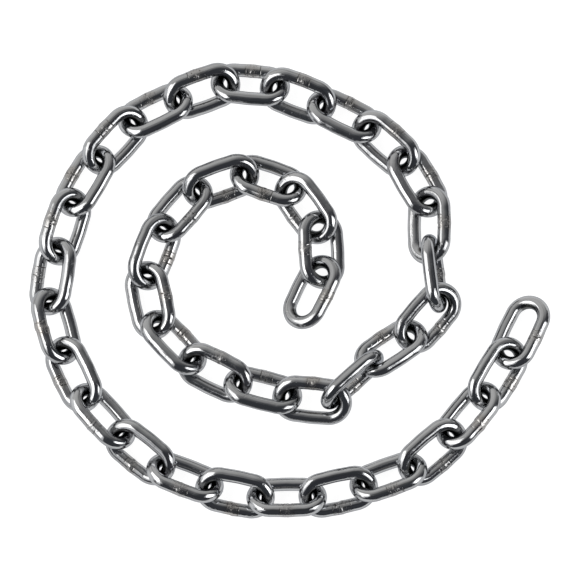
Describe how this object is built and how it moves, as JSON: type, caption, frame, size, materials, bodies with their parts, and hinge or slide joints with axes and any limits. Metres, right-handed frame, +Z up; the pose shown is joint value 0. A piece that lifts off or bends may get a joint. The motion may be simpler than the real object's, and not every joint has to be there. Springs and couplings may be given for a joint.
{
  "type": "length of welded steel chain",
  "caption": "Length of polished steel chain: round-wire oval welded links, each leaning on the next, laid flat on the floor in an open spiral.",
  "frame": {"origin": "on the floor, under the middle of the coil's footprint", "axes": "+X to the right across the coil, along its longest side, +Y away from the viewer, +Z up from the floor"},
  "size_m": [0.3118, 0.2772, 0.0292],
  "materials": {
    "polished_steel": "bright polished stainless steel, lightly marked at the welds"
  },
  "bodies": {
    "root": {"link_01": "polished_steel", "link_02": "polished_steel", "link_03": "polished_steel", "link_04": "polished_steel", "link_05": "polished_steel", "link_06": "polished_steel", "link_07": "polished_steel", "link_08": "polished_steel", "link_09": "polished_steel", "link_10": "polished_steel", "link_11": "polished_steel", "link_12": "polished_steel", "link_13": "polished_steel", "link_14": "polished_steel", "link_15": "polished_steel", "link_16": "polished_steel", "link_17": "polished_steel", "link_18": "polished_steel", "link_19": "polished_steel", "link_20": "polished_steel", "link_21": "polished_steel", "link_22": "polished_steel", "link_23": "polished_steel", "link_24": "polished_steel", "link_25": "polished_steel", "link_26": "polished_steel", "link_27": "polished_steel", "link_28": "polished_steel", "link_29": "polished_steel", "link_30": "polished_steel", "link_31": "polished_steel", "link_32": "polished_steel", "link_33": "polished_steel", "link_34": "polished_steel", "link_35": "polished_steel", "link_36": "polished_steel", "link_37": "polished_steel", "link_38": "polished_steel", "link_39": "polished_steel", "link_40": "polished_steel", "link_41": "polished_steel"}
  },
  "joints": []
}
